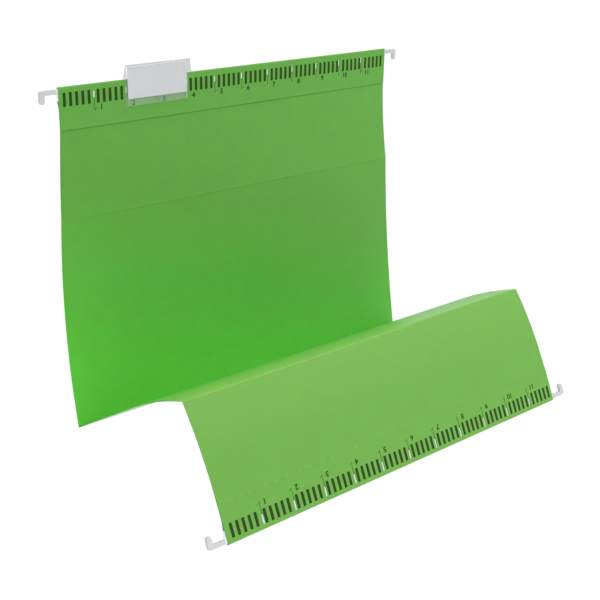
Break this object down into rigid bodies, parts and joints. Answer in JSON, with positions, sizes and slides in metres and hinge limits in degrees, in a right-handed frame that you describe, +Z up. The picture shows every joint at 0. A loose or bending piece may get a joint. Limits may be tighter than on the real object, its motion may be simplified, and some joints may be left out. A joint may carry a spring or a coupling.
{
  "type": "hanging file folder",
  "caption": "Hanging file folder of creased green card, standing open, with hook-ended rails in folded hems, rows of index slots and a clear plastic tab holding a paper slip.",
  "frame": {"origin": "midway between the two back hook seats, the undersides of the back hook arms", "axes": "+X along the back rail, to the right as the inside is seen; +Y away from the viewer, out of the back half's outer face; +Z up as the folder hangs"},
  "size_m": [0.3564, 0.2102, 0.2611],
  "materials": {
    "green_card": "uncoated coloured card",
    "white_painted_steel": "white paint",
    "grey_plastic": "moulded, matt",
    "clear_plastic": "clear, glossy",
    "white_paper": "uncoated white paper"
  },
  "bodies": {
    "back_frame": {"back_upper_panel": "green_card", "back_rail_bar": "white_painted_steel", "back_left_hook": "grey_plastic", "back_right_hook": "grey_plastic", "index_tab": "clear_plastic"},
    "back_lower": {"back_lower_panel": "green_card"},
    "front_lower": {"front_lower_panel": "green_card"},
    "front_upper": {"front_upper_panel": "green_card", "front_rail_bar": "white_painted_steel", "front_left_hook": "grey_plastic", "front_right_hook": "grey_plastic"},
    "insert": {"tab_insert": "white_paper"}
  },
  "joints": [
    {"name": "back_crease", "type": "hinge", "parent": "back_frame", "child": "back_lower", "pos_m": [0, -0.0009, -0.0861], "axis": [0.9993, -0.0373, 0], "range_deg": [0, 150]},
    {"name": "base_fold", "type": "hinge", "parent": "back_lower", "child": "front_lower", "pos_m": [-0.00041, -0.01347, -0.2355], "axis": [-0.9974, 0.0707, -0.0114], "range_deg": [-110, 60]},
    {"name": "front_crease", "type": "hinge", "parent": "front_lower", "child": "front_upper", "pos_m": [-0.01057, -0.14568, -0.16585], "axis": [-0.9974, 0.0707, -0.0114], "range_deg": [-92, 85]},
    {"name": "insert_slide", "type": "slide", "parent": "back_frame", "child": "insert", "axis": [1, 0, 0], "range_m": [0, 0.054]}
  ]
}
